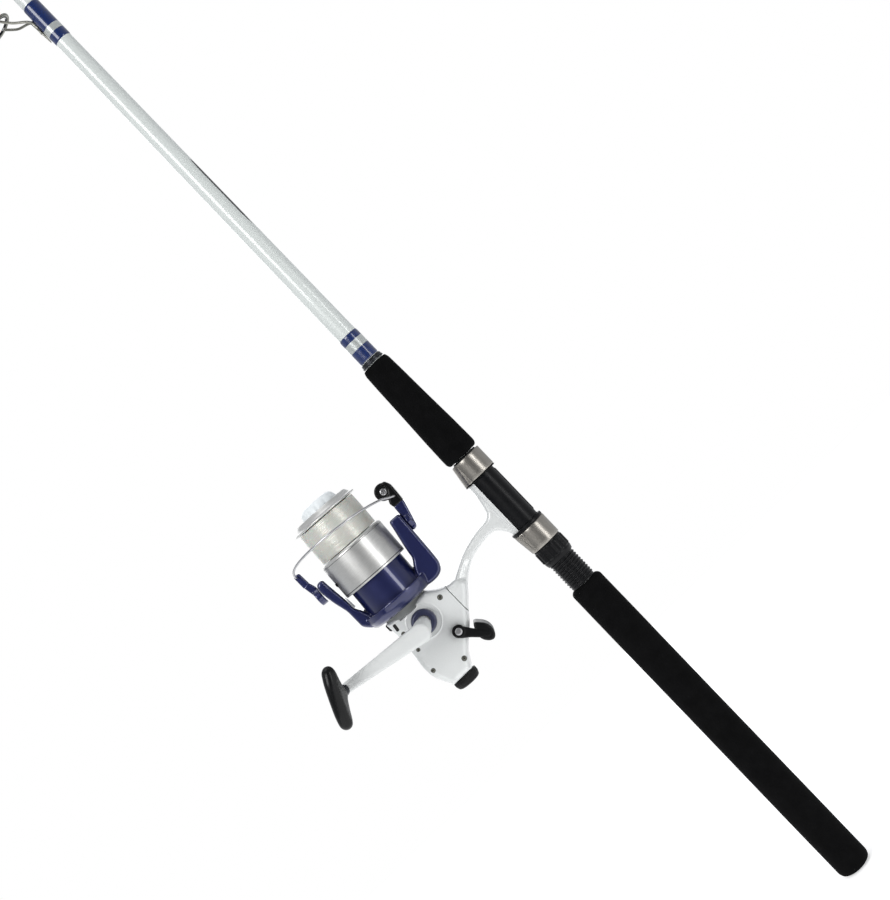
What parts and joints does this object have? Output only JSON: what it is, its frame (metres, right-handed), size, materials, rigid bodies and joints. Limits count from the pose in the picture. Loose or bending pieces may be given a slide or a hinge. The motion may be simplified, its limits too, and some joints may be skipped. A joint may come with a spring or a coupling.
{
  "type": "fishing rod with spinning reel",
  "caption": "Two-piece spinning rod with foam grips, screw-lock reel seat and ring guides, carrying a fixed-spool reel with bail, side crank and paddle knob.",
  "frame": {"origin": "centre of the flat butt end", "axes": "+Z along the rod from butt to tip, -X towards the reel, -Y towards the crank"},
  "size_m": [0.2243, 0.1215, 2.4365],
  "materials": {
    "foam": "matt closed-cell foam",
    "rubber": "matt",
    "seat_black": "satin",
    "smoke_metal": "polished, smoky",
    "check_grey": "satin",
    "blank_white": "glossy lacquer",
    "thread_blue": "thread under clear resin",
    "guide_metal": "smooth",
    "ring_ceramic": "polished",
    "pearl": "pearl lacquer",
    "screw_grey": "dark",
    "navy": "glossy",
    "black_plastic": "satin to glossy",
    "steel": "polished",
    "brass": "machined",
    "zinc": "cast",
    "spool_silver": "turned satin",
    "line_white": "wound line, satin",
    "drag_clear": "milky clear",
    "felt": "pressed felt"
  },
  "bodies": {
    "rod": {"butt_cap": "rubber", "rear_grip": "foam", "butt_blank": "blank_white", "reel_seat_tube": "seat_black", "fixed_hood_cover": "smoke_metal", "fixed_hood_liner": "seat_black", "fore_grip": "foam", "winding_check": "check_grey", "handle_wrap": "thread_blue", "stripper_wrap": "thread_blue", "stripper_guide": "guide_metal", "stripper_insert": "ring_ceramic", "gear_housing": "pearl", "side_plate": "pearl", "plate_screw_1": "screw_grey", "plate_screw_2": "screw_grey", "plate_screw_3": "screw_grey", "plate_screw_4": "screw_grey", "lever_screw": "steel", "main_bearing": "steel", "crank_bearing_near": "steel", "crank_bearing_far": "steel"},
    "tip_section": {"tip_blank": "blank_white", "guide_2": "guide_metal", "guide_3": "guide_metal", "guide_4": "guide_metal", "guide_5": "guide_metal", "guide_6": "guide_metal", "tip_top": "guide_metal"},
    "seat_hood": {"moving_hood_cover": "smoke_metal", "moving_hood_liner": "seat_black"},
    "seat_nut": {"locking_nut": "seat_black"},
    "crank": {"drive_gear": "zinc", "crank_collar": "navy", "crank_arm": "pearl", "knob_spindle": "check_grey", "crank_end_cap": "navy"},
    "knob": {"crank_knob": "black_plastic"},
    "rotor": {"rotor": "navy", "pinion": "brass", "rotor_nut": "steel", "bail_screw_roller_side": "steel", "bail_screw_far_side": "steel"},
    "oscillation": {"oscillation_gear": "zinc"},
    "bail": {"bail_arm": "navy", "bail_lever": "navy", "bail_wire": "steel", "roller_screw": "steel"},
    "roller": {"line_roller": "steel"},
    "spool_shaft": {"main_shaft": "steel", "slider": "zinc"},
    "spool": {"spool": "spool_silver", "wound_line": "line_white", "line_clip": "black_plastic", "drag_washer_felt": "felt", "drag_washer_steel": "steel"},
    "drag_adjuster": {"drag_knob": "drag_clear"},
    "feeder": {"feeder_lever": "black_plastic"},
    "tension": {"tension_knob": "black_plastic"},
    "anti_reverse": {"anti_reverse_switch": "black_plastic"}
  },
  "joints": [
    {"name": "tip_pull", "type": "slide", "parent": "rod", "child": "tip_section", "axis": [0, 0, 1], "range_m": [0, 0.08]},
    {"name": "hood_slide", "type": "slide", "parent": "rod", "child": "seat_hood", "axis": [0, 0, 1], "range_m": [-0.023, 0]},
    {"name": "nut_spin", "type": "hinge", "parent": "seat_hood", "child": "seat_nut", "pos_m": [0, 0, 0.35], "axis": [0, 0, 1], "range_deg": [-3060, 0]},
    {"name": "crank_turn", "type": "hinge", "parent": "rod", "child": "crank", "pos_m": [-0.11241, 0, 0.38222], "axis": [0, 1, 0], "continuous": true},
    {"name": "knob_spin", "type": "hinge", "parent": "crank", "child": "knob", "pos_m": [-0.18809, -0.058, 0.38911], "axis": [-0.2745, -0.9613, 0.025], "continuous": true},
    {"name": "rotor_spin", "type": "hinge", "parent": "rod", "child": "rotor", "pos_m": [-0.118, 0, 0.3825], "axis": [0.0499, 0, 0.9988], "continuous": true},
    {"name": "oscillation_spin", "type": "hinge", "parent": "rod", "child": "oscillation", "pos_m": [-0.11896, 0, 0.36332], "axis": [0, 1, 0], "continuous": true},
    {"name": "bail_flip", "type": "hinge", "parent": "rotor", "child": "bail", "pos_m": [-0.11461, 0, 0.45042], "axis": [-0.9988, 0, 0.0499], "range_deg": [0, 105]},
    {"name": "roller_spin", "type": "hinge", "parent": "bail", "child": "roller", "pos_m": [-0.06597, 0.0023, 0.47802], "axis": [0, 1, 0], "continuous": true},
    {"name": "spool_slide", "type": "slide", "parent": "rod", "child": "spool_shaft", "axis": [0.0499, 0, 0.9988], "range_m": [-0.009, 0.009]},
    {"name": "spool_drag", "type": "hinge", "parent": "spool_shaft", "child": "spool", "pos_m": [-0.118, 0, 0.3825], "axis": [0.0499, 0, 0.9988], "continuous": true},
    {"name": "drag_turn", "type": "hinge", "parent": "spool_shaft", "child": "drag_adjuster", "pos_m": [-0.118, 0, 0.3825], "axis": [0.0499, 0, 0.9988], "range_deg": [-540, 540]},
    {"name": "feeder_flip", "type": "hinge", "parent": "rod", "child": "feeder", "pos_m": [-0.0982, 0, 0.3577], "axis": [0, 1, 0], "range_deg": [0, 35]},
    {"name": "tension_turn", "type": "hinge", "parent": "rod", "child": "tension", "pos_m": [-0.118, 0, 0.3825], "axis": [0.0499, 0, 0.9988], "range_deg": [-540, 540]},
    {"name": "anti_reverse_shift", "type": "slide", "parent": "rod", "child": "anti_reverse", "axis": [0, 1, 0], "range_m": [0, 0.004]}
  ],
  "couplings": [
    {"joint": "hood_slide", "follows": "nut_spin", "m_per_rad": 0.00042972},
    {"joint": "rotor_spin", "follows": "crank_turn", "ratio": 4.5},
    {"joint": "oscillation_spin", "follows": "crank_turn", "ratio": -0.42857}
  ]
}
